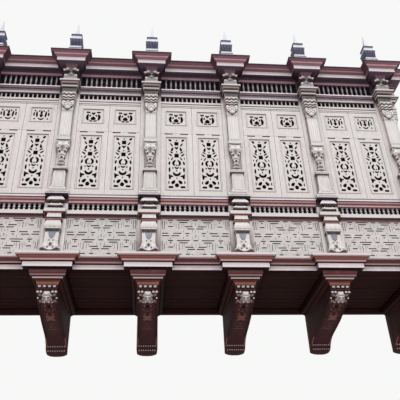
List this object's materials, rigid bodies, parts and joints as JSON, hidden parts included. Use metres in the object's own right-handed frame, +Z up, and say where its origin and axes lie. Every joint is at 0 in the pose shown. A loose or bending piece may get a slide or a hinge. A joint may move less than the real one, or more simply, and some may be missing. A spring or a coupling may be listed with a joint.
{
  "type": "enclosed timber screen balcony (mashrabiya)",
  "caption": "Long closed timber balcony on carved corbels, with pierced screen leaves between pilasters, a slotted lath parapet, baluster rows and a broken cornice.",
  "frame": {"origin": "middle of the back face of the wall ledger, on the wall plane", "axes": "+X to the right along the wall seen from the street, +Y into the wall, +Z up"},
  "size_m": [8.342, 1.966, 6.192],
  "materials": {
    "pale_varnish": "satin",
    "carved_timber": "satin",
    "red_timber": "satin",
    "dark_timber": "satin",
    "plain_boards": "matte",
    "slate_paint": "satin"
  },
  "bodies": {
    "root": {"corbel_1": "dark_timber", "corbel_2": "dark_timber", "corbel_3": "dark_timber", "corbel_4": "dark_timber", "corbel_5": "dark_timber", "corbel_6": "dark_timber", "pilaster_1": "carved_timber", "pilaster_2": "carved_timber", "pilaster_3": "carved_timber", "pilaster_4": "carved_timber", "pilaster_5": "carved_timber", "pilaster_6": "carved_timber", "screen_1": "pale_varnish", "screen_2": "pale_varnish", "screen_3": "pale_varnish", "screen_4": "pale_varnish", "screen_5": "pale_varnish", "screen_left": "pale_varnish", "screen_right": "pale_varnish", "parapet_lattice_1": "pale_varnish", "parapet_lattice_2": "pale_varnish", "parapet_lattice_3": "pale_varnish", "parapet_lattice_4": "pale_varnish", "parapet_lattice_5": "pale_varnish", "parapet_lattice_left": "pale_varnish", "parapet_lattice_right": "pale_varnish", "base_moulding_front": "red_timber", "base_moulding_left": "red_timber", "base_moulding_right": "red_timber", "cornice_front": "red_timber", "cornice_left": "red_timber", "cornice_right": "red_timber", "sill_front": "carved_timber", "sill_left": "carved_timber", "sill_right": "carved_timber", "frieze_front": "carved_timber", "frieze_left": "carved_timber", "frieze_right": "carved_timber", "wall_post_left": "red_timber", "wall_post_right": "red_timber", "wall_ledger": "dark_timber", "wall_plate": "dark_timber", "floor_joists": "dark_timber", "soffit_boards": "dark_timber", "soffit_battens": "dark_timber", "floor_deck": "plain_boards", "roof_deck": "plain_boards", "finials": "slate_paint"}
  },
  "joints": []
}
